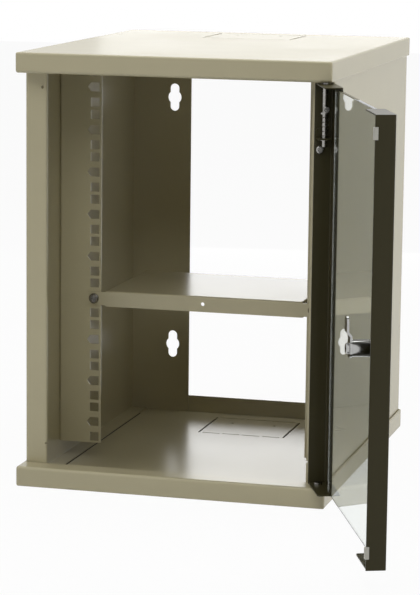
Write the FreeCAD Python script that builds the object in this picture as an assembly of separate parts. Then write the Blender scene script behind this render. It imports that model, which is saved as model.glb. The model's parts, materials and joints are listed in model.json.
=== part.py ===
import FreeCAD, Part
import math
import os

# Wall mount network cabinet with a glass door, for 10 inch rack equipment.
# Millimetres. X runs to the right, Y to the back, Z up. The origin is the middle of the
# wall fixing pattern, on the plane that lies against the wall.

# Rack pattern
rack_units = 9
unit_pitch = 44.45
rack_opening = 222.25
hole_column_inset = 7.1375
unit_hole_heights = (6.35, 22.225, 38.1)
square_hole = 9.5
arrow_point = 3.6

# Cabinet envelope
cabinet_width = 322.0
cabinet_depth = 400.0
bay_margin = 21.0

# Sheet thicknesses and bends
cover_sheet = 1.5
side_sheet = 1.2
rail_sheet = 2.0
shelf_sheet = 1.5
stile_sheet = 1.2
inner_bend = 0.8

# Top cover and base tray
lip_height = 20.5
ledge_depth = 24.0
cover_corner = 2.0
cover_front_round = 3.0
knockout_width = 97.0
knockout_depth = 80.5
knockout_rear_margin = 24.5
knockout_slot = 2.2
knockout_bridge = 3.0
knockout_hole_radius = 1.9
knockout_hole_spacing = 49.0
knockout_hole_setback = 24.0

# Side panels
side_inset = 2.5
post_setback = 24.6
post_width = 22.2
post_return = 4.0
rear_strip_inner = 89.5
floor_flange = 18.5
flange_relief = 1.5
flange_upstand = 6.0
post_hole_radius = 1.5
post_hole_inset = 4.5
post_hole_height = 385.0
post_notch_height = 19.0
post_notch_size = 2.0

# Wall fixing keyholes
keyhole_spacing_x = 218.0
keyhole_spacing_z = 286.0
keyhole_raise = 2.5
keyhole_radius = 7.75
keyhole_slot_radius = 5.2
keyhole_length = 31.0

# Rack rails
rail_setback = 128.4
rail_tail = 0.4
rail_side_flange = 24.0
stud_radius = 2.5
stud_length = 11.0
stud_slot_width = 7.0
stud_slot_length = 13.0
stud_end_distance = 42.0
stud_flange_position = 13.0
nut_across_flats = 8.0
nut_height = 4.0
nut_flange_radius = 5.5
nut_flange = 1.0
thread_clearance = 0.05
fit_gap = 0.1

# Shelf
shelf_unit = 4
shelf_side_gap = 4.125
shelf_depth = 150.0
shelf_lip = 16.4
shelf_rear_lip = 10.0
shelf_bend = 2.2
shelf_hole_radius = 2.0
ear_end_margin = 9.0
ear_height = 14.0
ear_slot_width = 6.6
ear_slot_length = 9.6
screw_head_radius = 5.4
screw_head = 3.4
screw_radius = 3.0
screw_length = 15.0
cross_recess_width = 1.1
cross_recess_length = 5.6
cross_recess_depth = 1.6
cage_nut_square = 8.2
cage_nut_thickness = 4.6
cage_wall = 0.8
cage_height = 10.8
cage_gap = 0.1

# Door
door_opening_angle = 112.0
door_side_gap = 0.5
door_end_gap = 1.5
door_front_gap = 0.2
stile_width = 54.0
stile_depth = 18.3
glass_thickness = 4.0
glass_tape = 1.0
glass_overlap = 8.0
glass_end_gap = 2.0
tape_width = 6.0

# Door hinge
hinge_inset = 8.6
hinge_setback = 9.8
hinge_pin_radius = 2.5
running_gap = 0.1
pin_reach = 4.0
pin_length = 66.5
pin_stroke = 4.8
pin_collar_radius = 4.3
pin_collar = 1.8
pin_collar_drop = 33.0
pull_arm_radius = 1.6
pull_arm_length = 8.0
pull_knob_radius = 3.4
pull_knob = 3.0
spring_radius = 3.5
spring_wire = 0.45
spring_turns = 5
spring_seat_gap = 0.1
bracket_tab_drop = 58.0
bracket_plate_width = 13.0
bracket_plate_above = 9.0
bracket_plate_below = 15.0
bracket_tab_reach = 12.0
bracket_sheet = 1.5
bracket_screw_radius = 2.0
bracket_screw_gap = 0.9
bracket_screw_head_radius = 3.8
bracket_screw_head = 2.4
clip_radius = 4.2
clip_thickness = 0.8
lower_pin_drop = 4.5
lower_pin_collar = 2.0
hinge_washer_radius = 6.5

# Cam lock
lock_inset = 34.0
lock_height = -8.0
lock_barrel_radius = 8.0
lock_barrel_flats = 14.0
lock_bezel_radius = 10.5
lock_bezel = 2.6
lock_plug_radius = 5.5
lock_plug_clearance = 0.05
lock_tang = 6.0
lock_nut_flats = 19.0
lock_nut_height = 4.0
key_slot_width = 1.8
key_slot_length = 7.0
key_slot_depth = 9.0
cam_sheet = 2.0
cam_post_gap = 0.7
cam_hub_radius = 8.6
cam_arm_width = 12.0
cam_reach = 29.0
cam_crank_start = 12.0
cam_crank = 3.0
cam_screw_radius = 2.0
cam_screw_head_radius = 5.0
cam_screw_head = 3.0
cam_gap = 0.2

# Door bumpers
bumper_height = 11.0
bumper_wall = 0.8
bumper_grip = 2.6
bumper_cushion = 1.6
bumper_end_distance = 16.0

# Places worked out from the sizes above
cabinet_height = rack_units * unit_pitch + 2 * bay_margin
half_width = cabinet_width / 2
front_plane = -cabinet_depth
top_plane = cabinet_height / 2 - keyhole_raise
bottom_plane = top_plane - cabinet_height
middle_height = (top_plane + bottom_plane) / 2
bay_bottom = bottom_plane + bay_margin
side_outer = half_width - side_inset
side_inner = side_outer - side_sheet
post_face = front_plane + post_setback
post_inner = side_outer - post_width
strip_face = -cover_sheet
floor_top = bottom_plane + cover_sheet
ledge_top = bottom_plane + lip_height
hole_column = rack_opening / 2 + hole_column_inset
rail_face = front_plane + rail_setback
rail_length = rack_units * unit_pitch + 2 * rail_tail
rail_bottom = bay_bottom - rail_tail
shelf_hole_height = bay_bottom + (shelf_unit - 1) * unit_pitch + unit_hole_heights[1]
ear_front = rail_face - shelf_sheet
door_bottom = ledge_top + door_end_gap
door_top = top_plane - lip_height - door_end_gap
door_face = front_plane + door_front_gap
door_back = door_face + stile_depth
door_right = half_width - door_side_gap
door_left = -door_right
hinge_x = half_width - hinge_inset
hinge_y = front_plane + hinge_setback
web_back = door_face + stile_sheet
glass_front = web_back + glass_tape
glass_back = glass_front + glass_thickness
lock_x = door_left + lock_inset
lock_z = middle_height + lock_height
cam_front = post_face + post_return + cam_post_gap
pin_top = top_plane - lip_height + pin_reach
pin_bottom = pin_top - pin_length
collar_bottom = pin_top - pin_collar_drop - pin_collar
tab_top = pin_top - bracket_tab_drop
clip_bottom = tab_top - bracket_sheet - spring_seat_gap - clip_thickness
bracket_screw_z = clip_bottom - pin_stroke - bracket_screw_head_radius - bracket_screw_gap

os.makedirs("parts", exist_ok=True)


def vec(x, y, z):
    return FreeCAD.Vector(x, y, z)


def block(x0, x1, y0, y1, z0, z1):
    """A box between two corners."""
    return Part.makeBox(x1 - x0, y1 - y0, z1 - z0, vec(x0, y0, z0))


def rod(radius, length, base, direction):
    """A cylinder from a base point along a direction."""
    return Part.makeCylinder(radius, length, base, direction)


def along_x(a, b):
    return vec(0, a, b)


def along_y(a, b):
    return vec(a, 0, b)


def along_z(a, b):
    return vec(a, b, 0)


def chain(points, radii, place):
    """Edges along an open run of points, with each inner corner rounded by an arc."""
    edges = []
    start = points[0]
    for i in range(1, len(points) - 1):
        before, corner, after = points[i - 1], points[i], points[i + 1]
        d1 = unit(before, corner)
        d2 = unit(corner, after)
        turn = math.acos(max(-1.0, min(1.0, d1[0] * d2[0] + d1[1] * d2[1])))
        cut = radii[i - 1] * math.tan(turn / 2)
        a = (corner[0] - d1[0] * cut, corner[1] - d1[1] * cut)
        b = (corner[0] + d2[0] * cut, corner[1] + d2[1] * cut)
        bisector = (d2[0] - d1[0], d2[1] - d1[1])
        size = math.hypot(*bisector)
        reach = radii[i - 1] / math.cos(turn / 2) - radii[i - 1]
        mid = (corner[0] + bisector[0] / size * reach, corner[1] + bisector[1] / size * reach)
        edges.append(Part.LineSegment(place(*start), place(*a)).toShape())
        edges.append(Part.Arc(place(*a), place(*mid), place(*b)).toShape())
        start = b
    edges.append(Part.LineSegment(place(*start), place(*points[-1])).toShape())
    return edges, points[0], points[-1]


def unit(a, b):
    length = math.hypot(b[0] - a[0], b[1] - a[1])
    return ((b[0] - a[0]) / length, (b[1] - a[1]) / length)


def bent_section(points, thickness, side, place):
    """The cut face of a folded sheet. The points follow one face of the sheet, and the
    material lies to the left (side 1) or to the right (side -1) of that run."""
    shifted = []
    for i, point in enumerate(points):
        d1 = unit(points[i - 1], point) if i else unit(point, points[1])
        d2 = unit(point, points[i + 1]) if i < len(points) - 1 else d1
        n1 = (-d1[1] * side, d1[0] * side)
        n2 = (-d2[1] * side, d2[0] * side)
        share = thickness / (1 + n1[0] * n2[0] + n1[1] * n2[1])
        shifted.append((point[0] + (n1[0] + n2[0]) * share, point[1] + (n1[1] + n2[1]) * share))
    near, far = [], []
    for i in range(1, len(points) - 1):
        d1, d2 = unit(points[i - 1], points[i]), unit(points[i], points[i + 1])
        towards = (d1[0] * d2[1] - d1[1] * d2[0]) * side > 0
        near.append(inner_bend + thickness if towards else inner_bend)
        far.append(inner_bend if towards else inner_bend + thickness)
    edges, first, last = chain(points, near, place)
    back, back_first, back_last = chain(shifted, far, place)
    edges.append(Part.LineSegment(place(*last), place(*back_last)).toShape())
    edges += back
    edges.append(Part.LineSegment(place(*back_first), place(*first)).toShape())
    return Part.Face(Part.Wire(Part.__sortEdges__(edges)))


def folded(points, thickness, side, z0, z1):
    """A sheet folded about upright lines, between two heights."""
    face = bent_section(points, thickness, side, along_z)
    face.translate(vec(0, 0, z0))
    return face.extrude(vec(0, 0, z1 - z0))


def mirrored_x(shape):
    return shape.mirror(vec(0, 0, 0), vec(1, 0, 0))


def mirrored_z(shape):
    return shape.mirror(vec(0, 0, middle_height), vec(0, 0, 1))


def opened(shape):
    """Turns a piece of the closed door to the angle at which the door stands."""
    turned = shape.copy()
    turned.rotate(vec(hinge_x, hinge_y, 0), vec(0, 0, 1), door_opening_angle)
    return turned


def rounded(shape, radius, wanted):
    """Rounds the edges of a shape that a test picks out."""
    edges = [edge for edge in shape.Edges if wanted(edge)]
    return shape.makeFillet(radius, edges)


def chamfered(shape, size, wanted):
    """Breaks the edges of a shape that a test picks out."""
    edges = [edge for edge in shape.Edges if wanted(edge)]
    return shape.makeChamfer(size, edges)


def runs_along(edge, axis):
    a, b = edge.Vertexes[0].Point, edge.Vertexes[-1].Point
    d = b.sub(a)
    parts = [abs(d.x), abs(d.y), abs(d.z)]
    return len(edge.Vertexes) == 2 and sum(parts) - parts[axis] < 1e-6


def hexagon(across_flats, height, base, direction):
    """A hexagonal prism centred on a base point, along X or Y."""
    radius = across_flats / math.sqrt(3)
    corners = []
    for i in range(7):
        angle = math.radians(60 * i)
        a, b = radius * math.cos(angle), radius * math.sin(angle)
        flat = along_x(a, b) if abs(direction.x) > 0 else along_y(a, b)
        corners.append(base.add(flat))
    return Part.Face(Part.makePolygon(corners)).extrude(direction.multiply(height))


def save(name, shape):
    shape.exportStep("parts/" + name + ".step")


# Cover and base pans

def knockout_cuts():
    """Slots that outline the cable entry plate, leaving bridges on its front and rear edges."""
    half = knockout_width / 2
    rear = -knockout_rear_margin
    front = rear - knockout_depth
    z0, z1 = bottom_plane - 1, floor_top + 1
    cuts = []
    for side in (-1, 1):
        x = side * half
        cuts.append(block(x - knockout_slot / 2, x + knockout_slot / 2, front, rear, z0, z1))
    for y, dashes in ((front, 4), (rear, 3)):
        span = (knockout_width - knockout_slot - (dashes + 1) * knockout_bridge) / dashes
        for i in range(dashes):
            x0 = -half + knockout_slot / 2 + knockout_bridge + i * (span + knockout_bridge)
            cuts.append(block(x0, x0 + span, y - knockout_slot / 2, y + knockout_slot / 2, z0, z1))
    for side in (-1, 1):
        centre = vec(side * knockout_hole_spacing / 2, rear - knockout_hole_setback, z0)
        cuts.append(rod(knockout_hole_radius, z1 - z0, centre, vec(0, 0, 1)))
    return cuts


def hinge_hole(z0, z1):
    return rod(hinge_pin_radius + running_gap, z1 - z0, vec(hinge_x, hinge_y, z0), vec(0, 0, 1))


def pan():
    """The base tray: a plate with a lip all round and a ledge folded in behind the front lip."""
    outer = block(-half_width, half_width, front_plane, 0, bottom_plane, ledge_top)
    front_top = lambda e: runs_along(e, 0) and is_at(e, front_plane, ledge_top)
    outer = rounded(outer, cover_front_round, front_top)
    others = lambda e: runs_along(e, 2) or (max_z(e) < bottom_plane + 1e-6)
    outer = rounded(outer, cover_corner, others)
    x = half_width - cover_sheet
    y0 = front_plane + cover_sheet
    under = block(-x, x, y0, -cover_sheet, floor_top, ledge_top - cover_sheet)
    over = block(-x, x, front_plane + ledge_depth, -cover_sheet, ledge_top - cover_sheet - 1,
                 ledge_top + 1)
    shape = outer.cut(under).cut(over)
    shape = shape.cut(knockout_cuts())
    return shape.cut(hinge_hole(ledge_top - cover_sheet - 1, ledge_top + 1)).removeSplitter()


def is_at(edge, y, z):
    point = edge.Vertexes[0].Point
    return abs(point.y - y) < 1e-6 and abs(point.z - z) < 1e-6


def max_z(edge):
    return edge.BoundBox.ZMax


# Side panels

def keyhole(x, z):
    """A round hole with a slot above and below it, through the rear strip."""
    y0, y1 = strip_face - side_sheet - 1, strip_face + 1
    reach = keyhole_length / 2 - keyhole_slot_radius
    cut = rod(keyhole_radius, y1 - y0, vec(x, y0, z), vec(0, 1, 0))
    for end in (-1, 1):
        lobe = rod(keyhole_slot_radius, y1 - y0, vec(x, y0, z + end * reach), vec(0, 1, 0))
        cut = cut.fuse(lobe)
    slot = block(x - keyhole_slot_radius, x + keyhole_slot_radius, y0, y1, z - reach, z + reach)
    return cut.fuse(slot)


def floor_fold():
    """The flange that is folded in along the foot of the side panel."""
    points = [(side_outer, floor_top + flange_upstand), (side_outer, floor_top),
              (side_outer - floor_flange, floor_top)]
    y0 = post_face + side_sheet + flange_relief
    y1 = strip_face - side_sheet - flange_relief
    face = bent_section(points, side_sheet, -1, along_y)
    face.translate(vec(0, y0, 0))
    return face.extrude(vec(0, y1 - y0, 0)), y0, y1


def side_panel():
    """The right-hand side: skin, front post and rear wall strip folded from one sheet."""
    roof = top_plane - cover_sheet
    points = [(post_inner, post_face + post_return), (post_inner, post_face),
              (side_outer, post_face), (side_outer, strip_face), (rear_strip_inner, strip_face)]
    shape = folded(points, side_sheet, 1, floor_top, roof)
    fold, y0, y1 = floor_fold()
    foot = block(side_inner - 1, side_outer + 1, y0, y1, floor_top - 1, floor_top + flange_upstand)
    shape = shape.cut([foot, mirrored_z(foot)]).fuse([fold, mirrored_z(fold)])
    cuts = []
    for level in (-1, 1):
        cuts.append(keyhole(keyhole_spacing_x / 2, level * keyhole_spacing_z / 2))
    hole_x = post_inner + post_hole_inset
    cuts.append(rod(post_hole_radius, side_sheet + 2,
                    vec(hole_x, post_face - 1, bottom_plane + bay_margin + post_hole_height),
                    vec(0, 1, 0)))
    notch_z = bay_bottom + post_notch_height
    cuts.append(block(post_inner - 1, post_inner + post_notch_size, post_face - 1,
                      post_face + post_return + 1, notch_z, notch_z + post_notch_size))
    return shape.cut(cuts).removeSplitter()


# Rack rails

def stud_heights():
    return (rail_bottom + stud_end_distance, rail_bottom + rail_length / 2,
            rail_bottom + rail_length - stud_end_distance)


def rack_hole(unit, place):
    """One rail hole: square, and drawn out to a point towards the side at the unit's centre."""
    x = hole_column
    z = bay_bottom + unit * unit_pitch + unit_hole_heights[place]
    half = square_hole / 2
    corners = [(x - half, z - half), (x + half, z - half), (x + half, z + half), (x - half, z + half)]
    if place == 1:
        corners.insert(2, (x + half + arrow_point, z))
    corners.append(corners[0])
    outline = Part.makePolygon([vec(a, rail_face - 1, b) for a, b in corners])
    return Part.Face(outline).extrude(vec(0, rail_sheet + 2, 0))


def rail():
    """The right-hand rack rail: a flange that takes equipment, and one along the side panel."""
    points = [(side_inner, rail_face + rail_side_flange), (side_inner, rail_face),
              (rack_opening / 2, rail_face)]
    shape = folded(points, rail_sheet, -1, rail_bottom, rail_bottom + rail_length)
    cuts = [rack_hole(unit, place) for unit in range(rack_units)
            for place in range(len(unit_hole_heights))]
    for z in stud_heights():
        y = rail_face + stud_flange_position
        x0 = side_inner - rail_sheet - 1
        reach = (stud_slot_length - stud_slot_width) / 2
        for end in (-1, 1):
            cuts.append(rod(stud_slot_width / 2, rail_sheet + 1.5, vec(x0, y + end * reach, z),
                            vec(1, 0, 0)))
        cuts.append(block(x0, side_inner + 0.5, y - reach, y + reach,
                          z - stud_slot_width / 2, z + stud_slot_width / 2))
    return shape.cut(cuts).removeSplitter()


def rail_studs():
    """Welded studs on the inside of the side panel, which hold the rail."""
    studs = []
    for z in stud_heights():
        base = vec(side_inner, rail_face + stud_flange_position, z)
        shank = rod(stud_radius, stud_length, base, vec(-1, 0, 0))
        studs.append(chamfered(shank, 0.5, lambda e: e.BoundBox.XMax < base.x - stud_length + 1e-6))
    return Part.makeCompound(studs)


def rail_nuts():
    """Flanged nuts that clamp the rail's side flange."""
    nuts = []
    for z in stud_heights():
        base = vec(side_inner - rail_sheet, rail_face + stud_flange_position, z)
        washer = rod(nut_flange_radius, nut_flange, base, vec(-1, 0, 0))
        nut = hexagon(nut_across_flats, nut_height + nut_flange, base, vec(-1, 0, 0))
        bore = rod(stud_radius + thread_clearance, nut_height + nut_flange + 2,
                   base.add(vec(1, 0, 0)), vec(-1, 0, 0))
        nuts.append(nut.fuse(washer).cut(bore).removeSplitter())
    return Part.makeCompound(nuts)


# Shelf and its fixings

def shelf():
    """A pressed shelf: a top with lips turned down, and an ear on each side at the front."""
    half = rack_opening / 2 - shelf_side_gap
    top = shelf_hole_height + shelf_lip / 2
    rear = ear_front + shelf_depth
    body = block(-half, half, ear_front, rear, top - shelf_lip, top)
    body = rounded(body, shelf_bend, lambda e: e.BoundBox.ZMin > top - 1e-6 or runs_along(e, 2))
    t = shelf_sheet
    hollow = block(-half + t, half - t, ear_front + t, rear - t, top - shelf_lip - 1, top - t)
    body = body.cut(hollow)
    body = body.cut(block(-half - 1, half + 1, rear - t - 0.5, rear + 1,
                          top - shelf_lip - 1, top - shelf_rear_lip))
    ear = block(half - shelf_bend - t, hole_column + ear_end_margin, ear_front, rail_face,
                shelf_hole_height - ear_height / 2, shelf_hole_height + ear_height / 2)
    ear = rounded(ear, shelf_bend, lambda e: runs_along(e, 1) and e.BoundBox.XMin > half)
    reach = (ear_slot_length - ear_slot_width) / 2
    x = hole_column
    cuts = [block(x - reach, x + reach, ear_front - 1, rail_face + 1,
                  shelf_hole_height - ear_slot_width / 2, shelf_hole_height + ear_slot_width / 2)]
    for end in (-1, 1):
        cuts.append(rod(ear_slot_width / 2, t + 2,
                        vec(x + end * reach, ear_front - 1, shelf_hole_height), vec(0, 1, 0)))
    ear = ear.cut(cuts)
    body = body.fuse([ear, mirrored_x(ear)])
    body = body.cut(block(-half + t, half - t, ear_front + t, rear - t, top - shelf_lip - 1, top - t - 1))
    hole = rod(shelf_hole_radius, t + 2, vec(0, ear_front - 1, shelf_hole_height), vec(0, 1, 0))
    return body.cut(hole).removeSplitter()


def shelf_screw(x):
    """A pan head screw with a cross recess, driven in from the front."""
    seat = vec(x, ear_front, shelf_hole_height)
    head = rod(screw_head_radius, screw_head, seat, vec(0, -1, 0))
    head = chamfered(head, screw_head * 0.4, lambda e: e.BoundBox.YMax < ear_front - screw_head + 1e-6)
    shank = rod(screw_radius, screw_length, seat, vec(0, 1, 0))
    shank = chamfered(shank, 0.6, lambda e: e.BoundBox.YMin > ear_front + screw_length - 1e-6)
    y0 = ear_front - screw_head - 1
    w, half = cross_recess_width / 2, cross_recess_length / 2
    z = shelf_hole_height
    depth = y0 + 1 + cross_recess_depth
    recess = block(x - w, x + w, y0, depth, z - half, z + half)
    recess = recess.fuse(block(x - half, x + half, y0, depth, z - w, z + w))
    return head.fuse(shank).cut(recess).removeSplitter()


def cage_nut(x):
    """The square nut behind the rail, with its threaded bore."""
    half = cage_nut_square / 2
    y0 = rail_face + rail_sheet + cage_wall + cage_gap
    body = block(x - half, x + half, y0, y0 + cage_nut_thickness, shelf_hole_height - half,
                 shelf_hole_height + half)
    body = chamfered(body, 0.8, lambda e: runs_along(e, 1))
    bore = rod(screw_radius + thread_clearance, cage_nut_thickness + 2,
               vec(x, y0 - 1, shelf_hole_height), vec(0, 1, 0))
    return body.cut(bore)


def nut_cage(x):
    """The spring cage that clips the nut into the rail's square hole."""
    half = cage_nut_square / 2 + cage_gap
    tall = cage_height / 2
    z = shelf_hole_height
    y0 = rail_face + rail_sheet
    y1 = y0 + cage_wall + cage_nut_thickness + 2 * cage_gap
    shell = block(x - half - cage_wall, x + half + cage_wall, y0, y1 + cage_wall, z - tall, z + tall)
    shell = shell.cut(block(x - half, x + half, y0 + cage_wall, y1, z - tall - 1, z + tall + 1))
    window = screw_radius + 0.8
    shell = shell.cut(rod(window, y1 - y0 + 2, vec(x, y0 - 1, z), vec(0, 1, 0)))
    hook = square_hole / 2 - cage_gap
    for side in (-1, 1):
        x0 = x + side * (hook - cage_wall / 2)
        shell = shell.fuse(block(x0 - cage_wall / 2, x0 + cage_wall / 2, rail_face + 0.2, y0 + 0.1,
                                 z - tall / 2, z + tall / 2))
    return shell.removeSplitter()


def pair(make):
    x = hole_column
    return Part.makeCompound([make(-x), make(x)])


# Door, drawn closed and turned open when saved

def stile():
    """The hinge-side stile: a folded channel, closed at both ends by turned plates."""
    edge, web_edge = door_right, door_right - stile_width
    points = [(edge, door_back), (edge, door_face), (web_edge, door_face)]
    shape = folded(points, stile_sheet, -1, door_bottom, door_top)
    rim = door_back - inner_bend
    ends = []
    for z in (door_bottom, door_top - stile_sheet):
        plate = block(web_edge, edge - stile_sheet / 2, door_face + stile_sheet / 2, rim, z,
                      z + stile_sheet)
        ends.append(rounded(plate, 3.0, lambda e: runs_along(e, 2) and e.BoundBox.YMin > web_back
                            and e.BoundBox.XMax < web_edge + 1))
    return shape.fuse(ends)


def hinge_stile():
    """The stile with its hinge pin holes and the hole for the bracket's screw."""
    cuts = [hinge_hole(door_top - stile_sheet - 1, door_top + 1),
            rod(hinge_pin_radius + thread_clearance, stile_sheet + 2,
                vec(hinge_x, hinge_y, door_bottom - 1), vec(0, 0, 1)),
            rod(bracket_screw_radius + fit_gap, stile_sheet + 2, vec(door_right - stile_sheet - 1,
                bracket_screw_y(), bracket_screw_z), vec(1, 0, 0))]
    return stile().cut(cuts).removeSplitter()


def barrel_outline(radius, flats, y0, y1):
    """A round bar with two flats, along Y at the lock's axis."""
    bar = rod(radius, y1 - y0, vec(lock_x, y0, lock_z), vec(0, 1, 0))
    return bar.common(block(lock_x - radius, lock_x + radius, y0, y1, lock_z - flats / 2,
                            lock_z + flats / 2))


def handle_stile():
    """The closing stile, with the flatted hole for the lock."""
    hole = barrel_outline(lock_barrel_radius + fit_gap, lock_barrel_flats + 2 * fit_gap,
                          door_face - 1, web_back + 1)
    return mirrored_x(stile()).cut(hole).removeSplitter()


def glass():
    """The pane, with its edges ground round."""
    edge = door_right - stile_width + glass_overlap
    low = door_bottom + glass_end_gap
    high = door_top - glass_end_gap
    pane = block(-edge, edge, glass_front, glass_back, low, high)
    pane = chamfered(pane, 2.0, lambda e: runs_along(e, 1))
    return chamfered(pane, 0.5, lambda e: not runs_along(e, 1))


def glass_tape_strip():
    """The mounting tape between the pane and the stile on the hinge side."""
    x1 = door_right - stile_width + glass_overlap - 1
    low = door_bottom + 2 * glass_end_gap
    high = door_top - 2 * glass_end_gap
    return block(x1 - tape_width, x1, web_back, glass_front, low, high)


# Hinge

def upper_pin():
    """The sprung hinge pin, with its collar and the arm by which it is pulled down."""
    axis = vec(0, 0, 1)
    shank = rod(hinge_pin_radius, pin_length, vec(hinge_x, hinge_y, pin_bottom), axis)
    shank = chamfered(shank, 0.9, lambda e: e.BoundBox.ZMin > pin_top - 1e-6)
    collar = rod(pin_collar_radius, pin_collar, vec(hinge_x, hinge_y, collar_bottom), axis)
    start = vec(hinge_x, hinge_y, collar_bottom + pin_collar + pull_knob_radius)
    arm = rod(pull_arm_radius, pull_arm_length, start, vec(-1, 0, 0))
    end = start.add(vec(-pull_arm_length, 0, 0))
    knob = rod(pull_knob_radius, pull_knob, end, vec(-1, 0, 0))
    knob = chamfered(knob, 0.6, lambda e: e.BoundBox.XMax < end.x - pull_knob + 1e-6)
    return shank.fuse([collar, arm, knob]).removeSplitter()


def pin_clip():
    """The spring clip below the bracket's tab, which stops the pin at the top of its travel."""
    base = vec(hinge_x, hinge_y, clip_bottom)
    ring = rod(clip_radius, clip_thickness, base, vec(0, 0, 1))
    ring = ring.cut(rod(hinge_pin_radius, clip_thickness, base, vec(0, 0, 1)))
    mouth = block(hinge_x - clip_radius - 1, hinge_x, hinge_y - hinge_pin_radius * 0.7,
                  hinge_y + hinge_pin_radius * 0.7, base.z - 1, base.z + clip_thickness + 1)
    return ring.cut(mouth)


def spring():
    """The coil spring between the bracket's tab and the collar of the pin."""
    low = tab_top + spring_seat_gap + spring_wire
    high = collar_bottom - spring_seat_gap - spring_wire
    helix = Part.makeHelix((high - low) / spring_turns, high - low, spring_radius)
    corners = [vec(spring_radius + a * spring_wire, 0, b * spring_wire)
               for a, b in ((1, 0), (0, 1), (-1, 0), (0, -1), (1, 0))]
    profile = Part.makePolygon(corners)
    coil = Part.Wire(helix).makePipeShell([profile], True, True)
    coil.translate(vec(hinge_x, hinge_y, low))
    return coil


def bracket_screw_y():
    return door_back - 1.6 - bracket_screw_head_radius


def hinge_bracket():
    """The angle on the stile's edge whose tab guides and carries the sprung pin."""
    x1 = door_right - stile_sheet
    x0 = x1 - bracket_sheet
    y1 = door_back - 1.6
    y0 = y1 - bracket_plate_width
    low = tab_top - bracket_sheet - bracket_plate_below
    plate = block(x0, x1, y0, y1, low, tab_top + bracket_plate_above)
    plate = rounded(plate, 2.5, lambda e: runs_along(e, 0))
    tab = block(x1 - bracket_tab_reach - bracket_sheet, x1 - bracket_sheet / 2, y0, y1,
                tab_top - bracket_sheet, tab_top)
    tab = rounded(tab, 3.0, lambda e: runs_along(e, 2) and e.BoundBox.XMax < x0 - 1)
    cuts = [rod(hinge_pin_radius + running_gap, bracket_sheet + 2,
                vec(hinge_x, hinge_y, tab_top - bracket_sheet - 1), vec(0, 0, 1)),
            rod(bracket_screw_radius + fit_gap, bracket_sheet + 2,
                vec(x0 - 1, bracket_screw_y(), bracket_screw_z), vec(1, 0, 0))]
    return plate.fuse(tab).cut(cuts).removeSplitter()


def bracket_screw():
    """The pan head screw that holds the hinge bracket to the stile."""
    x0 = door_right - stile_sheet - bracket_sheet
    seat = vec(x0, bracket_screw_y(), bracket_screw_z)
    head = rod(bracket_screw_head_radius, bracket_screw_head, seat, vec(-1, 0, 0))
    head = chamfered(head, 0.9, lambda e: e.BoundBox.XMax < x0 - bracket_screw_head + 1e-6)
    shank = rod(bracket_screw_radius, bracket_sheet + stile_sheet, seat, vec(1, 0, 0))
    w, half = cross_recess_width / 2, cross_recess_length / 3
    y, z = seat.y, seat.z
    front = x0 - bracket_screw_head
    recess = block(front - 1, front + 1.2, y - w, y + w, z - half, z + half)
    recess = recess.fuse(block(front - 1, front + 1.2, y - half, y + half, z - w, z + w))
    return head.fuse(shank).cut(recess).removeSplitter()


def lower_pin():
    """The fixed pin at the foot of the door, riveted into the end plate."""
    base = vec(hinge_x, hinge_y, door_bottom - lower_pin_drop)
    length = lower_pin_drop + stile_sheet + lower_pin_collar
    shank = rod(hinge_pin_radius, length, base, vec(0, 0, 1))
    shank = chamfered(shank, 0.9, lambda e: e.BoundBox.ZMax < base.z + 1e-6)
    collar = rod(pin_collar_radius, lower_pin_collar, vec(hinge_x, hinge_y, door_bottom + stile_sheet),
                 vec(0, 0, 1))
    return shank.fuse(collar).removeSplitter()


def hinge_washer():
    """The slip washer on the base ledge that carries the door."""
    base = vec(hinge_x, hinge_y, ledge_top)
    height = door_end_gap - running_gap
    ring = rod(hinge_washer_radius, height, base, vec(0, 0, 1))
    return ring.cut(rod(hinge_pin_radius + running_gap, height, base, vec(0, 0, 1)))


# Cam lock

def lock_body():
    """The flatted barrel of the lock and its bezel on the outside of the door."""
    end = cam_front - cam_gap
    barrel = barrel_outline(lock_barrel_radius, lock_barrel_flats, door_face, end)
    bezel = rod(lock_bezel_radius, lock_bezel, vec(lock_x, door_face, lock_z), vec(0, -1, 0))
    bezel = chamfered(bezel, 1.2, lambda e: e.BoundBox.YMax < door_face - lock_bezel + 1e-6)
    bore = rod(lock_plug_radius + lock_plug_clearance, end - door_face + lock_bezel + 2,
               vec(lock_x, door_face - lock_bezel - 1, lock_z), vec(0, 1, 0))
    return barrel.fuse(bezel).cut(bore).removeSplitter()


def lock_nut():
    """The hexagon nut that clamps the lock to the stile."""
    base = vec(lock_x, web_back, lock_z)
    nut = hexagon(lock_nut_flats, lock_nut_height, base, vec(0, 1, 0))
    bore = barrel_outline(lock_barrel_radius + thread_clearance, lock_barrel_flats + 2 * fit_gap,
                          web_back - 1, web_back + lock_nut_height + 1)
    return nut.cut(bore)


def lock_plug():
    """The turning plug, with its key slot in front and a square tang behind."""
    front = door_face - lock_bezel + 0.4
    plug = rod(lock_plug_radius, cam_front - front, vec(lock_x, front, lock_z), vec(0, 1, 0))
    plug = chamfered(plug, 0.4, lambda e: e.BoundBox.YMax < front + 1e-6)
    half = lock_tang / 2
    tang = block(lock_x - half, lock_x + half, cam_front - 1, cam_front + cam_sheet,
                 lock_z - half, lock_z + half)
    slot = block(lock_x - key_slot_width / 2, lock_x + key_slot_width / 2, front - 1,
                 front + key_slot_depth, lock_z - key_slot_length / 2, lock_z + key_slot_length / 2)
    thread = rod(cam_screw_radius + thread_clearance, 8, vec(lock_x, cam_front + cam_sheet - 8, lock_z), vec(0, 1, 0))
    return plug.fuse(tang).cut([slot, thread]).removeSplitter()


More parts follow.
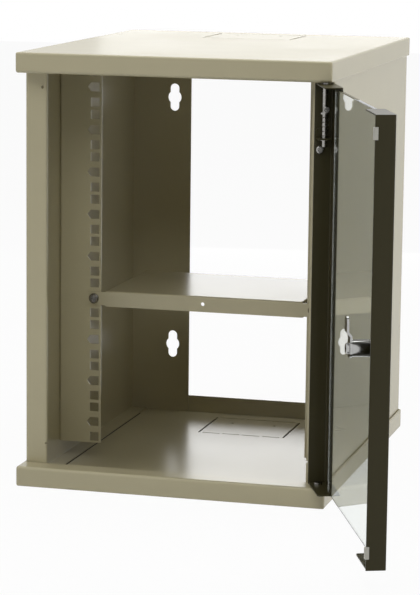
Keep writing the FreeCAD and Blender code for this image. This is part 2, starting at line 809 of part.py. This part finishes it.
def cam():
    """The cranked cam: a round hub, and an arm that steps back and ends in a rounded tip."""
    half = cam_arm_width / 2
    hub = rod(cam_hub_radius, cam_sheet, vec(lock_x, cam_front, lock_z), vec(0, 1, 0))
    start = lock_z + cam_crank_start
    points = [(cam_front, lock_z), (cam_front, start), (cam_front + cam_crank, start + cam_crank),
              (cam_front + cam_crank, lock_z + cam_reach)]
    face = bent_section(points, cam_sheet, -1, along_x)
    face.translate(vec(lock_x - half, 0, 0))
    arm = face.extrude(vec(cam_arm_width, 0, 0))
    tip = rod(half, cam_crank + cam_sheet + 2, vec(lock_x, cam_front - 1, lock_z + cam_reach - half),
              vec(0, 1, 0))
    keep = tip.fuse(block(lock_x - half, lock_x + half, cam_front - 1,
                          cam_front + cam_crank + cam_sheet + 1, lock_z - 1,
                          lock_z + cam_reach - half))
    tang = block(lock_x - lock_tang / 2, lock_x + lock_tang / 2, cam_front - 1,
                 cam_front + cam_sheet + 1, lock_z - lock_tang / 2, lock_z + lock_tang / 2)
    return arm.common(keep).fuse(hub).cut(tang).removeSplitter()


def cam_screw():
    """The screw that holds the cam on the plug's tang."""
    seat = vec(lock_x, cam_front + cam_sheet, lock_z)
    head = rod(cam_screw_head_radius, cam_screw_head, seat, vec(0, 1, 0))
    head = chamfered(head, 1.0, lambda e: e.BoundBox.YMin > seat.y + cam_screw_head - 1e-6)
    shank = rod(cam_screw_radius, 7, seat, vec(0, -1, 0))
    w, half = cross_recess_width / 2, cross_recess_length / 2
    top = seat.y + cam_screw_head
    recess = block(lock_x - w, lock_x + w, top - 1.4, top + 1, lock_z - half, lock_z + half)
    recess = recess.fuse(block(lock_x - half, lock_x + half, top - 1.4, top + 1, lock_z - w,
                               lock_z + w))
    return head.fuse(shank).cut(recess).removeSplitter()


def bumper(z):
    """A soft push-on bumper that grips the rim of the closing stile."""
    x0 = door_left - bumper_wall
    x1 = door_left + stile_sheet + bumper_wall
    y0, y1 = door_back - bumper_grip, door_back + bumper_cushion
    body = block(x0, x1, y0, y1, z - bumper_height / 2, z + bumper_height / 2)
    body = chamfered(body, 0.7, lambda e: e.BoundBox.YMin > y1 - 1e-6)
    slot = block(door_left, door_left + stile_sheet, y0 - 1, door_back, z - bumper_height,
                 z + bumper_height)
    return body.cut(slot)


def bumpers():
    offset = bumper_end_distance
    return Part.makeCompound([bumper(door_bottom + offset), bumper(door_top - offset)])


base = pan()
save("base_tray", base)
save("top_cover", mirrored_z(base))
right_side = side_panel()
save("right_side_panel", right_side)
save("left_side_panel", mirrored_x(right_side))
right_rail = rail()
save("right_rack_rail", right_rail)
save("left_rack_rail", mirrored_x(right_rail))
for hand, place in (("right", lambda shape: shape), ("left", mirrored_x)):
    save(hand + "_rail_studs", place(rail_studs()))
    save(hand + "_rail_nuts", place(rail_nuts()))
save("shelf", shelf())
save("shelf_screws", pair(shelf_screw))
save("cage_nuts", pair(cage_nut))
save("nut_cages", pair(nut_cage))
save("door_hinge_stile", opened(hinge_stile()))
save("door_handle_stile", opened(handle_stile()))
save("door_glass", opened(glass()))
save("hinge_side_tape", opened(glass_tape_strip()))
save("handle_side_tape", opened(mirrored_x(glass_tape_strip())))
save("upper_hinge_bracket", opened(hinge_bracket()))
save("hinge_bracket_screw", opened(bracket_screw()))
save("upper_hinge_pin", opened(upper_pin()))
save("hinge_pin_clip", opened(pin_clip()))
save("hinge_spring", opened(spring()))
save("lower_hinge_pin", opened(lower_pin()))
save("hinge_washer", hinge_washer())
save("lock_body", opened(lock_body()))
save("lock_nut", opened(lock_nut()))
save("lock_plug", opened(lock_plug()))
save("lock_cam", opened(cam()))
save("lock_cam_screw", opened(cam_screw()))
save("door_bumpers", opened(bumpers()))
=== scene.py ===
"""Looks of a wall mount network cabinet with a glass door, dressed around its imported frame.

Lengths are in metres, in the frame's own axes: X to the right, Y towards the wall, Z up.
"""

from __future__ import annotations

import json
import logging
import math
from dataclasses import dataclass, field
from enum import Enum
from functools import reduce
from typing import Any, Iterable, Mapping, Union

import bpy
from mathutils import Matrix, Vector

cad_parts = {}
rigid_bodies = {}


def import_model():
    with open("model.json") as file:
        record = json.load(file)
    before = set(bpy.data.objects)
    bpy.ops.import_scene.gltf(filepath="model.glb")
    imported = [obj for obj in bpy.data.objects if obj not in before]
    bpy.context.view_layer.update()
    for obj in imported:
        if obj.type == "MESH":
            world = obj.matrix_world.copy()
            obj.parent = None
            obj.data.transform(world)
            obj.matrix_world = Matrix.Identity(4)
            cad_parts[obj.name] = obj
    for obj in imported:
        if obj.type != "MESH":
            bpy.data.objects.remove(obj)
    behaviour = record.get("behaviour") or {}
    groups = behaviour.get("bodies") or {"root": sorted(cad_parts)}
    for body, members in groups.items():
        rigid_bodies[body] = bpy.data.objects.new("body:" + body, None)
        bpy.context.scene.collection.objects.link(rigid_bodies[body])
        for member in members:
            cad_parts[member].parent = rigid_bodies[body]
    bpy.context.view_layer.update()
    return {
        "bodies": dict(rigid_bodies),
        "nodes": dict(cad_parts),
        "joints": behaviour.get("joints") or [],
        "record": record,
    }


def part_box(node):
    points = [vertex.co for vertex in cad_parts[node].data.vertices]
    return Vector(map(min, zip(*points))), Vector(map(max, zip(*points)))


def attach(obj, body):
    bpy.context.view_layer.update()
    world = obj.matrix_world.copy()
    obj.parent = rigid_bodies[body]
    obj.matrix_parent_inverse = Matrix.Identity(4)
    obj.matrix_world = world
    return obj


PHOTO_WIDTH = 420
PHOTO_HEIGHT = 595
SENSOR_WIDTH = 36.0
NOISE_MIDDLE = 0.5
SEEN_RAYS = ("Is Camera Ray", "Is Glossy Ray", "Is Transmission Ray")

log = logging.getLogger("cabinet")

Number = Union[int, float]
Place = Union[str, int]
Colour = tuple[float, float, float]


class Slot(Enum):
    """The record's material slots."""

    PAINT = "cabinet_paint"
    DOOR = "door_paint"
    ZINC = "zinc_plate"
    CHROME = "lock_chrome"
    GLASS = "clear_glass"
    TAPE = "dark_tape"
    BUMPER = "soft_bumper"


def opaque(colour: Colour) -> tuple[float, float, float, float]:
    """A colour with full alpha, as a shader socket takes it."""
    return (*colour, 1.0)


class Signal:
    """A shader socket that can stand in a Python expression."""

    def __init__(self, graph: "Graph", socket: bpy.types.NodeSocket) -> None:
        """Wraps an output socket.

        Args:
            graph: The node graph that the socket belongs to.
            socket: The output socket.
        """
        self.graph = graph
        self.socket = socket

    def _math(self, operation: str, *values: Union["Signal", Number]) -> "Signal":
        """Adds a Math node on these values."""
        return self.graph.node(
            "ShaderNodeMath", {"operation": operation}, dict(enumerate(values))
        )

    def __add__(self, other: Union["Signal", Number]) -> "Signal":
        """The sum of both."""
        return self._math("ADD", self, other)

    __radd__ = __add__

    def __sub__(self, other: Union["Signal", Number]) -> "Signal":
        """This less the other."""
        return self._math("SUBTRACT", self, other)

    def __rsub__(self, other: Union["Signal", Number]) -> "Signal":
        """The other less this."""
        return self._math("SUBTRACT", other, self)

    def __mul__(self, other: Union["Signal", Number]) -> "Signal":
        """The product of both."""
        return self._math("MULTIPLY", self, other)

    __rmul__ = __mul__

    def either(self, other: Union["Signal", Number]) -> "Signal":
        """The larger of both."""
        return self._math("MAXIMUM", self, other)


class Graph:
    """The node graph of a material or a world, built from expressions."""

    def __init__(self, owner: Union[bpy.types.Material, bpy.types.World]) -> None:
        """Starts an empty graph.

        Args:
            owner: The material or world that the graph belongs to.
        """
        owner.use_nodes = True
        self.owner = owner
        self.tree = owner.node_tree
        self.tree.nodes.clear()

    @classmethod
    def of_material(cls, name: str) -> "Graph":
        """The empty graph of a new material."""
        return cls(bpy.data.materials.new(name))

    def node(
        self,
        kind: str,
        settings: Mapping[str, Any] | None = None,
        inputs: Mapping[Place, Any] | None = None,
        output: Place = 0,
    ) -> Signal:
        """Adds a node, with its settings made before its sockets are filled.

        Args:
            kind: The node's type.
            settings: Attributes of the node, such as a Math node's operation.
            inputs: Values or signals for its sockets, by name or place.
            output: The output socket that is returned.

        Returns:
            The chosen output as a signal.
        """
        made = self.tree.nodes.new(kind)
        for name, value in (settings or {}).items():
            setattr(made, name, value)
        for place, value in (inputs or {}).items():
            if isinstance(value, Signal):
                self.tree.links.new(value.socket, made.inputs[place])
            else:
                made.inputs[place].default_value = value
        return Signal(self, made.outputs[output])

    def place(self) -> Signal:
        """The point's place in the object's own coordinates."""
        return self.node("ShaderNodeTexCoord", output="Object")

    def noise(self, scale: float, detail: float = 2.0) -> Signal:
        """A noise pattern on the object's coordinates.

        Args:
            scale: Features to the metre.
            detail: Octaves of finer noise.

        Returns:
            The noise, from 0 to 1.
        """
        return self.node(
            "ShaderNodeTexNoise",
            inputs={"Vector": self.place(), "Scale": scale, "Detail": detail},
        )

    def blend(self, share: Signal, first: Colour, second: Colour) -> Signal:
        """Mixes two colours by a share."""
        return self.node(
            "ShaderNodeMix",
            {"data_type": "RGBA"},
            {0: share, 6: opaque(first), 7: opaque(second)},
            output=2,
        )

    def bump(self, height: Signal, strength: float, distance: float) -> Signal:
        """Turns a height pattern into a surface normal."""
        return self.node(
            "ShaderNodeBump",
            inputs={"Height": height, "Strength": strength, "Distance": distance},
            output="Normal",
        )

    def seen(self) -> Signal:
        """One for a ray from the camera, also by way of metal or glass, and otherwise zero."""
        rays = [self.node("ShaderNodeLightPath", output=ray) for ray in SEEN_RAYS]
        return reduce(Signal.either, rays)

    def finish(self, shader: Signal) -> Union[bpy.types.Material, bpy.types.World]:
        """Links a shader to the output, and gives the material or world back."""
        in_world = isinstance(self.owner, bpy.types.World)
        out = self.tree.nodes.new("ShaderNodeOutputWorld" if in_world else "ShaderNodeOutputMaterial")
        self.tree.links.new(shader.socket, out.inputs["Surface"])
        return self.owner


@dataclass(frozen=True)
class PowderCoat:
    """Powder coat with a fine, glossy orange-peel skin, pale beige unless told otherwise."""

    name: str = "cabinet_powder_coat"
    colour: Colour = (0.50, 0.452, 0.295)
    shade: Colour = (0.475, 0.428, 0.275)
    roughness: float = 0.25
    roughness_spread: float = 0.08
    cloud_scale: float = 9.0
    skin_scale: float = 620.0
    skin_detail: float = 1.5
    skin_depth: float = 0.00012
    skin_strength: float = 0.30
    shine: float = 0.5

    def make(self) -> bpy.types.Material:
        """Builds the material."""
        graph = Graph.of_material(self.name)
        skin = graph.noise(self.skin_scale, self.skin_detail)
        cloud = graph.noise(self.cloud_scale)
        shader = graph.node(
            "ShaderNodeBsdfPrincipled",
            inputs={
                "Base Color": graph.blend(cloud, self.shade, self.colour),
                "Roughness": self.roughness + (cloud - NOISE_MIDDLE) * self.roughness_spread,
                "Specular IOR Level": self.shine,
                "Normal": graph.bump(skin, self.skin_strength, self.skin_depth),
            },
        )
        return graph.finish(shader)


@dataclass(frozen=True)
class Plating:
    """A plated metal: bright zinc, or the lock's chrome."""

    name: str
    colour: Colour
    stain: Colour
    roughness: float
    grain_scale: float
    roughness_spread: float = 0.12

    def make(self) -> bpy.types.Material:
        """Builds the material."""
        graph = Graph.of_material(self.name)
        grain = graph.noise(self.grain_scale)
        shader = graph.node(
            "ShaderNodeBsdfPrincipled",
            inputs={
                "Base Color": graph.blend(grain, self.stain, self.colour),
                "Metallic": 1.0,
                "Roughness": self.roughness + (grain - NOISE_MIDDLE) * self.roughness_spread,
            },
        )
        return graph.finish(shader)


@dataclass(frozen=True)
class ClearGlass:
    """Clear float glass with a faint green tint."""

    name: str = "clear_float_glass"
    tint: Colour = (0.86, 0.90, 0.87)
    roughness: float = 0.0
    index: float = 1.5

    def make(self) -> bpy.types.Material:
        """Builds the material."""
        graph = Graph.of_material(self.name)
        shader = graph.node(
            "ShaderNodeBsdfPrincipled",
            inputs={
                "Base Color": opaque(self.tint),
                "Roughness": self.roughness,
                "IOR": self.index,
                "Transmission Weight": 1.0,
            },
        )
        return graph.finish(shader)


@dataclass(frozen=True)
class Rubber:
    """A dull, finely grained rubber or foam, such as the tape and the bumpers."""

    name: str
    colour: Colour
    roughness: float = 0.8
    grain_scale: float = 900.0
    grain_strength: float = 0.2
    grain_depth: float = 0.0001
    dust_gain: float = 1.3

    def make(self) -> bpy.types.Material:
        """Builds the material."""
        graph = Graph.of_material(self.name)
        grain = graph.noise(self.grain_scale)
        dust = tuple(value * self.dust_gain for value in self.colour)
        shader = graph.node(
            "ShaderNodeBsdfPrincipled",
            inputs={
                "Base Color": graph.blend(grain, self.colour, dust),
                "Roughness": self.roughness,
                "Normal": graph.bump(grain, self.grain_strength, self.grain_depth),
            },
        )
        return graph.finish(shader)


class Finishes:
    """Every finish of the cabinet, by material slot."""

    def __init__(self) -> None:
        """Builds the materials."""
        recipes = {
            Slot.PAINT: PowderCoat(),
            # The door has the cabinet's pale paint. This near-black colour is painted shade for the
            # door faces that lie in shadow.
            Slot.DOOR: PowderCoat("door_painted_shade_coat", (0.046, 0.040, 0.018),
                                  (0.040, 0.035, 0.015), roughness=0.30, shine=0.15),
            # Zinc and chrome are darker than plain plated metal: painted shade for the dark
            # surroundings they reflect.
            Slot.ZINC: Plating("bright_zinc", (0.40, 0.39, 0.37), stain=(0.28, 0.27, 0.255),
                               roughness=0.26, grain_scale=260.0),
            Slot.CHROME: Plating("lock_chrome", (0.46, 0.46, 0.45), stain=(0.38, 0.38, 0.37),
                                 roughness=0.14, grain_scale=150.0),
            Slot.GLASS: ClearGlass(),
            Slot.TAPE: Rubber("mounting_tape", (0.012, 0.012, 0.012)),
            Slot.BUMPER: Rubber("soft_bumper", (0.46, 0.45, 0.40), roughness=0.6),
        }
        self.made = {slot: recipe.make() for slot, recipe in recipes.items()}

    def dress(self, piece: bpy.types.Object, slot: Slot) -> None:
        """Gives a piece one finish all over.

        Args:
            piece: The mesh object.
            slot: The material slot whose finish it takes.
        """
        piece.data.materials.clear()
        piece.data.materials.append(self.made[slot])
        log.info("%s is finished in %s", piece.name, slot.value)


@dataclass(frozen=True)
class Axis:
    """A line that a round piece is built around."""

    point: Vector
    direction: Vector

    def far_end(self, piece: bpy.types.Object) -> float:
        """How far a piece at the origin reaches from the axis point, along the direction."""
        return max((v.co - self.point).dot(self.direction) for v in piece.data.vertices)


class Workbench:
    """Modelling steps that the sub-assemblies and the studio share."""

    RIDGE_SIDES = 3
    RIDGE_SHARE = 0.48
    STEPS_PER_TURN = 20
    FEWEST_STEPS = 3

    @staticmethod
    def clear() -> None:
        """Leaves edit mode and deselects everything."""
        if bpy.context.object and bpy.context.object.mode != "OBJECT":
            bpy.ops.object.mode_set(mode="OBJECT")
        bpy.ops.object.select_all(action="DESELECT")

    @staticmethod
    def apply_place() -> None:
        """Applies the active piece's place, turn and scale to its mesh."""
        bpy.ops.object.transform_apply(location=True, rotation=True, scale=True)

    @classmethod
    def sized(cls, name: str, size: Vector) -> bpy.types.Object:
        """Names the new unit primitive and gives it its size.

        Args:
            name: The piece's name.
            size: Its lengths along X, Y and Z.

        Returns:
            The finished piece.
        """
        piece = bpy.context.object
        piece.name = name
        piece.scale = size
        cls.apply_place()
        return piece

    @classmethod
    def thread(
        cls,
        name: str,
        axis: Axis,
        start: float,
        length: float,
        radius: float,
        pitch: float,
    ) -> bpy.types.Object:
        """A screw thread: a three-sided ridge wound round an axis.

        Args:
            name: The piece's name.
            axis: The thread's axis.
            start: Where it starts, along the axis.
            length: How far it runs.
            radius: The radius of its crest.
            pitch: The rise of one turn.

        Returns:
            The finished piece.
        """
        cls.clear()
        ridge = pitch * cls.RIDGE_SHARE
        turns = (length - ridge * 2) / pitch
        bpy.ops.mesh.primitive_circle_add(
            vertices=cls.RIDGE_SIDES,
            radius=ridge,
            location=(radius - ridge, 0, ridge),
            rotation=(math.pi / 2, math.pi / 2, 0),
        )
        piece = bpy.context.object
        piece.name = name
        cls.apply_place()
        wind = piece.modifiers.new("wind", "SCREW")
        wind.axis = "Z"
        wind.angle = math.tau * turns
        wind.screw_offset = pitch * turns
        wind.steps = max(cls.FEWEST_STEPS, round(cls.STEPS_PER_TURN * turns))
        wind.render_steps = wind.steps
        wind.use_merge_vertices = False
        bpy.ops.object.modifier_apply(modifier=wind.name)
        bpy.ops.object.mode_set(mode="EDIT")
        bpy.ops.mesh.select_all(action="DESELECT")
        bpy.ops.mesh.select_non_manifold()
        bpy.ops.mesh.fill_holes(sides=cls.RIDGE_SIDES)
        bpy.ops.mesh.select_all(action="SELECT")
        bpy.ops.mesh.normals_make_consistent(inside=False)
        bpy.ops.object.mode_set(mode="OBJECT")
        turn = Vector((0, 0, 1)).rotation_difference(axis.direction).to_matrix().to_4x4()
        piece.matrix_world = Matrix.Translation(axis.point + axis.direction * start) @ turn
        bpy.context.view_layer.update()
        cls.apply_place()
        return piece


@dataclass
class Assembly:
    """A sub-assembly: CAD nodes that belong together, and the small pieces added to them."""

    frame: dict[str, Any]
    finishes: Finishes

    def node(self, name: str) -> bpy.types.Object:
        """A CAD node by name."""
        return self.frame["nodes"][name]

    def joint_axis(self, name: str) -> Axis:
        """The axis of a joint at rest."""
        joint = next(j for j in self.frame["joints"] if j["name"] == name)
        return Axis(Vector(joint["pos_m"]), Vector(joint["axis"]).normalized())

    def dress_nodes(self, names: Iterable[str], slot: Slot) -> None:
        """Gives CAD nodes one finish.

        Args:
            names: The nodes' names.
            slot: The slot whose finish they take.
        """
        for name in names:
            self.finishes.dress(self.node(name), slot)

    def add(self, piece: bpy.types.Object, body: str, slot: Slot) -> None:
        """Dresses a new piece and lets it ride on a body.

        Args:
            piece: The new mesh object.
            body: The CAD body it moves with.
            slot: The slot whose finish it takes.
        """
        self.finishes.dress(piece, slot)
        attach(piece, body)
        log.info("%s rides on %s", piece.name, body)


@dataclass
class CabinetShell(Assembly):
    """The pans, the side panels, the rails and the shelf."""

    stud_radius: float = 0.0025
    stud_pitch: float = 0.0008
    screw_radius: float = 0.003
    screw_pitch: float = 0.001
    floor_sheet: float = 0.0015
    floor_flange: float = 0.0185
    post_depth: float = 0.03
    # Width of the dark strip of painted shadow in each floor joint.
    seam_shadow_width: float = 0.0008

    def build(self) -> None:
        """Dresses the cabinet's nodes, and adds the threads and the dark strips of painted shadow
        along the floor's joint lines.
        """
        painted = ("base_tray", "top_cover", "left_side_panel", "right_side_panel",
                   "left_rack_rail", "right_rack_rail", "shelf")
        plated = ("left_rail_studs", "right_rail_studs", "left_rail_nuts", "right_rail_nuts",
                  "shelf_screws", "cage_nuts", "nut_cages")
        self.dress_nodes(painted, Slot.PAINT)
        self.dress_nodes(plated, Slot.ZINC)
        self.dress_nodes(["hinge_washer"], Slot.TAPE)
        self.add_stud_threads()
        self.add_screw_threads()
        self.add_painted_seam_shadows()

    def add_stud_threads(self) -> None:
        """Threads on the three studs of each rail, beyond their nuts."""
        for hand, inward in (("left", 1.0), ("right", -1.0)):
            studs = self.node(f"{hand}_rail_studs")
            nuts = self.node(f"{hand}_rail_nuts")
            low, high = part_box(f"{hand}_rail_studs")
            middle = (low + high) / 2
            half = (high.y - low.y) / 2
            heights = (low.z + half, middle.z, high.z - half)
            for count, height in enumerate(heights, start=1):
                axis = Axis(Vector((0, middle.y, height)), Vector((inward, 0, 0)))
                start = axis.far_end(nuts)
                piece = Workbench.thread(f"{hand}_stud_thread_{count}", axis, start,
                                         axis.far_end(studs) - start,
                                         self.stud_radius, self.stud_pitch)
                self.add(piece, "cabinet", Slot.ZINC)

    def add_screw_threads(self) -> None:
        """Threads on the ends of the shelf's screws, behind their nuts."""
        low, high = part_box("shelf_screws")
        head = (high.z - low.z) / 2
        for hand, x in (("left", low.x + head), ("right", high.x - head)):
            axis = Axis(Vector((x, 0, (low.z + high.z) / 2)), Vector((0, 1, 0)))
            start = axis.far_end(self.node("nut_cages"))
            piece = Workbench.thread(f"{hand}_shelf_screw_thread", axis, start,
                                     axis.far_end(self.node("shelf_screws")) - start,
                                     self.screw_radius, self.screw_pitch)
            self.add(piece, "cabinet", Slot.ZINC)

    def add_painted_seam_shadows(self) -> None:
        """A dark strip of painted shadow on the floor along each side panel's flange edge, where the
        gap lies in shade.
        """
        low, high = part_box("base_tray")
        size = Vector((self.seam_shadow_width, high.y - low.y - 2 * self.post_depth, self.seam_shadow_width))
        inset = self.floor_flange + self.seam_shadow_width / 2
        for hand, side in (("left", -1.0), ("right", 1.0)):
            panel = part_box(f"{hand}_side_panel")
            outer = panel[0].x if side < 0 else panel[1].x
            place = Vector((outer - side * inset, (low.y + high.y) / 2, low.z + self.floor_sheet))
            Workbench.clear()
            bpy.ops.mesh.primitive_cube_add(size=1.0, location=place)
            piece = Workbench.sized(f"{hand}_painted_seam_shadow", size)
            self.add(piece, "cabinet", Slot.TAPE)


@dataclass
class GlassDoor(Assembly):
    """The door's stiles, pane and hinge pieces."""

    def build(self) -> None:
        """Dresses the door's nodes. The stiles and the upper hinge bracket take the door finish,
        whose near-black colour is painted shade.
        """
        self.dress_nodes(["door_hinge_stile", "door_handle_stile", "upper_hinge_bracket"],
                         Slot.DOOR)
        self.dress_nodes(["door_glass"], Slot.GLASS)
        self.dress_nodes(["hinge_side_tape", "handle_side_tape"], Slot.TAPE)
        self.dress_nodes(["door_bumpers"], Slot.BUMPER)
        self.dress_nodes(["hinge_bracket_screw", "lower_hinge_pin", "upper_hinge_pin",
                          "hinge_pin_clip", "hinge_spring"], Slot.ZINC)


@dataclass
class CamLock(Assembly):
    """The lock on the handle stile."""

    barrel_radius: float = 0.008
    barrel_pitch: float = 0.0012

    def build(self) -> None:
        """Dresses the lock and threads its barrel."""
        self.dress_nodes(["lock_body", "lock_nut", "lock_plug", "lock_cam", "lock_cam_screw"],
                         Slot.CHROME)
        outward = self.joint_axis("lock_turn")
        axis = Axis(outward.point, -outward.direction)
        start = axis.far_end(self.node("lock_nut"))
        piece = Workbench.thread("lock_barrel_thread", axis, start,
                                 axis.far_end(self.node("lock_body")) - start,
                                 self.barrel_radius, self.barrel_pitch)
        self.add(piece, "door", Slot.CHROME)


@dataclass(frozen=True)
class Lamp:
    """A soft square lamp, which mirrors and glossy paint show or leave out."""

    name: str
    place: Vector
    size: float
    power: float
    mirrored: bool = True

    def hang(self, target: Vector) -> None:
        """Adds the lamp to the scene, turned towards a point."""
        data = bpy.data.lights.new(self.name, "AREA")
        data.size = self.size
        data.energy = self.power
        lamp = bpy.data.objects.new(self.name, data)
        lamp.location = self.place
        lamp.rotation_mode = "QUATERNION"
        lamp.rotation_quaternion = (target - self.place).to_track_quat("-Z", "Y")
        lamp.visible_camera = False
        lamp.visible_glossy = self.mirrored
        bpy.context.scene.collection.objects.link(lamp)


@dataclass
class Studio:
    """The camera, the floor and the light."""

    camera_place: Vector = field(default_factory=lambda: Vector((0.6841, -2.7844, 0.3980)))
    yaw: float = 0.2630
    pitch: float = 0.1666
    roll: float = 0.0114
    focal_pixels: float = 2536.6
    floor_size: float = 12.0
    floor_drop: float = 0.0005
    floor_colour: Colour = (0.82, 0.82, 0.81)
    floor_whiteness: float = 0.95
    # The dark sheet under the base is painted shade for the ground in the cabinet's shadow.
    shade_sheet_margin: float = 0.01
    shade_sheet_drop: float = 0.0003
    painted_shade_colour: Colour = (0.02, 0.02, 0.02)
    background: Colour = (1.0, 1.0, 1.0)
    fill: float = 0.15
    lamp_target: Vector = field(default_factory=lambda: Vector((0, -0.2, 0)))

    def build(self) -> None:
        """Sets up the whole studio."""
        self.set_camera()
        self.lay_floor()
        self.lay_painted_shade_sheet()
        self.set_world()
        self.hang_lamps()
        bpy.context.scene.view_settings.view_transform = "Standard"

    def set_camera(self) -> None:
        """Places the camera at the photograph's viewing angle."""
        data = bpy.data.cameras.new("camera")
        data.sensor_width = SENSOR_WIDTH
        data.lens = self.focal_pixels / max(PHOTO_WIDTH, PHOTO_HEIGHT) * SENSOR_WIDTH
        camera = bpy.data.objects.new("camera", data)
        camera.location = self.camera_place
        forward = Vector((-math.sin(self.yaw) * math.cos(self.pitch),
                          math.cos(self.yaw) * math.cos(self.pitch), -math.sin(self.pitch)))
        level = Vector((math.cos(self.yaw), math.sin(self.yaw), 0))
        above = level.cross(forward)
        right = level * math.cos(self.roll) + above * math.sin(self.roll)
        up = above * math.cos(self.roll) - level * math.sin(self.roll)
        camera.rotation_mode = "QUATERNION"
        camera.rotation_quaternion = Matrix((right, up, -forward)).transposed().to_quaternion()
        bpy.context.scene.collection.objects.link(camera)
        bpy.context.scene.camera = camera

    def lay_floor(self) -> None:
        """Lays a pale floor under the cabinet, white to the camera but for its shadow."""
        Workbench.clear()
        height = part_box("base_tray")[0].z - self.floor_drop
        bpy.ops.mesh.primitive_plane_add(size=self.floor_size, location=(0, 0, height))
        floor = bpy.context.object
        floor.name = "floor"
        graph = Graph.of_material("floor_paper")
        paper = graph.node("ShaderNodeBsdfDiffuse", inputs={"Color": opaque(self.floor_colour)})
        white = graph.node("ShaderNodeEmission", inputs={"Strength": 1.0})
        whiteness = graph.seen() * self.floor_whiteness
        shader = graph.node("ShaderNodeMixShader", inputs={0: whiteness, 1: paper, 2: white})
        floor.data.materials.append(graph.finish(shader))

    def lay_painted_shade_sheet(self) -> None:
        """Lays a dark sheet of painted shade under the base, so the slots in its plate look into the
        dark.
        """
        Workbench.clear()
        low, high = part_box("base_tray")
        middle = (low + high) / 2
        place = Vector((middle.x, middle.y, low.z - self.shade_sheet_drop))
        bpy.ops.mesh.primitive_plane_add(size=1.0, location=place)
        trim = 2 * self.shade_sheet_margin
        size = Vector((high.x - low.x - trim, high.y - low.y - trim, 1))
        painted_shade_sheet = Workbench.sized("painted_shade_sheet", size)
        graph = Graph.of_material("painted_shade_material")
        felt = graph.node("ShaderNodeBsdfDiffuse", inputs={"Color": opaque(self.painted_shade_colour)})
        painted_shade_sheet.data.materials.append(graph.finish(felt))

    def set_world(self) -> None:
        """A white background, and a weaker even light from all round."""
        graph = Graph(bpy.data.worlds.new("studio"))
        strength = graph.seen() * (1.0 - self.fill) + self.fill
        sky = graph.node(
            "ShaderNodeBackground",
            inputs={"Color": opaque(self.background), "Strength": strength},
        )
        bpy.context.scene.world = graph.finish(sky)

    def hang_lamps(self) -> None:
        """Hangs the lamps: overhead, behind the rear opening, two in front and one on the right."""
        lamps = (
            Lamp("overhead", Vector((0.1, -0.2, 1.8)), size=1.5, power=17.0),
            Lamp("behind", Vector((-0.25, 1.3, 0.0)), size=0.7, power=2.7),
            Lamp("front_left", Vector((-1.2, -1.7, 1.7)), size=1.2, power=10.0, mirrored=False),
            Lamp("front", Vector((0.3, -2.0, 1.5)), size=1.0, power=10.0, mirrored=False),
            Lamp("right", Vector((2.2, -0.15, 0.6)), size=0.5, power=13.0, mirrored=False),
        )
        for lamp in lamps:
            lamp.hang(self.lamp_target)


def main() -> None:
    logging.basicConfig(level=logging.INFO, format="%(name)s: %(message)s")
    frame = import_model()
    finishes = Finishes()
    for assembly in (CabinetShell, GlassDoor, CamLock):
        assembly(frame, finishes).build()
        log.info("%s done", assembly.__name__)
    Studio().build()


if __name__ == "__main__":
    main()
